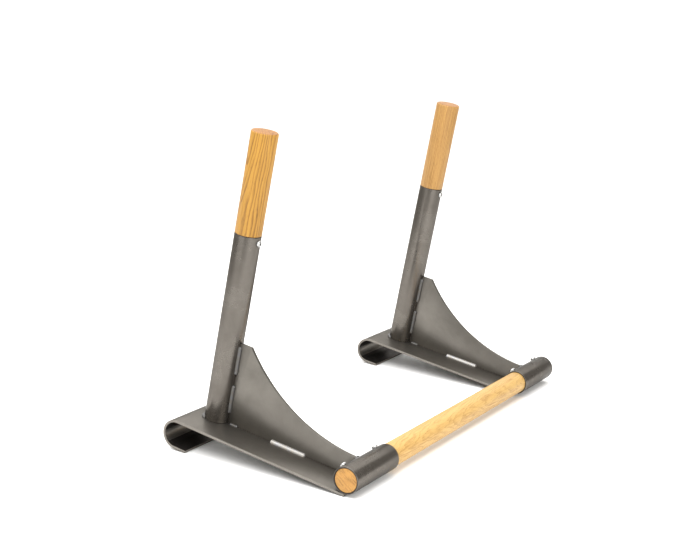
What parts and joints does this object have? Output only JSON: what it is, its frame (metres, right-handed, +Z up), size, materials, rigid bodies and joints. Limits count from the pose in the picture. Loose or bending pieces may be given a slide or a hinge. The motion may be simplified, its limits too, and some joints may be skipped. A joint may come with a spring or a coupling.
{
  "type": "pull up bar",
  "caption": "Hook-on pull up bar for wall bars: steel side frames with hooks, gussets and wooden grips, joined by a round wooden crossbar.",
  "frame": {"origin": "centre of the footprint, on the surface the part lies on", "axes": "+X along the crossbar to the right frame, +Y from the crossbar to the hooks, +Z up"},
  "size_m": [0.73, 0.354, 0.5101],
  "materials": {
    "steel": "satin clear-coated dark steel",
    "weld": "bright clear-coated weld bead",
    "oak": "satin oiled oak",
    "screw": "bright stainless steel"
  },
  "bodies": {
    "root": {"left_hook_plate": "steel", "left_post_tube": "steel", "left_gusset": "steel", "left_bar_sleeve": "steel", "left_grip": "oak", "left_grip_screw": "screw", "left_post_base_weld": "weld", "left_bar_screw_outer": "screw", "left_post_weld_upper_outer": "weld", "left_post_weld_lower_outer": "weld", "left_plate_weld_outer": "weld", "left_foot_weld_outer": "weld", "left_tip_weld_outer": "weld", "left_sleeve_weld_outer": "weld", "left_bar_screw_inner": "screw", "left_post_weld_upper_inner": "weld", "left_post_weld_lower_inner": "weld", "left_plate_weld_inner": "weld", "left_foot_weld_inner": "weld", "left_tip_weld_inner": "weld", "left_sleeve_weld_inner": "weld", "right_hook_plate": "steel", "right_post_tube": "steel", "right_gusset": "steel", "right_bar_sleeve": "steel", "right_grip": "oak", "right_grip_screw": "screw", "right_post_base_weld": "weld", "right_bar_screw_outer": "screw", "right_post_weld_upper_outer": "weld", "right_post_weld_lower_outer": "weld", "right_plate_weld_outer": "weld", "right_foot_weld_outer": "weld", "right_tip_weld_outer": "weld", "right_sleeve_weld_outer": "weld", "right_bar_screw_inner": "screw", "right_post_weld_upper_inner": "weld", "right_post_weld_lower_inner": "weld", "right_plate_weld_inner": "weld", "right_foot_weld_inner": "weld", "right_tip_weld_inner": "weld", "right_sleeve_weld_inner": "weld", "crossbar": "oak"}
  },
  "joints": []
}
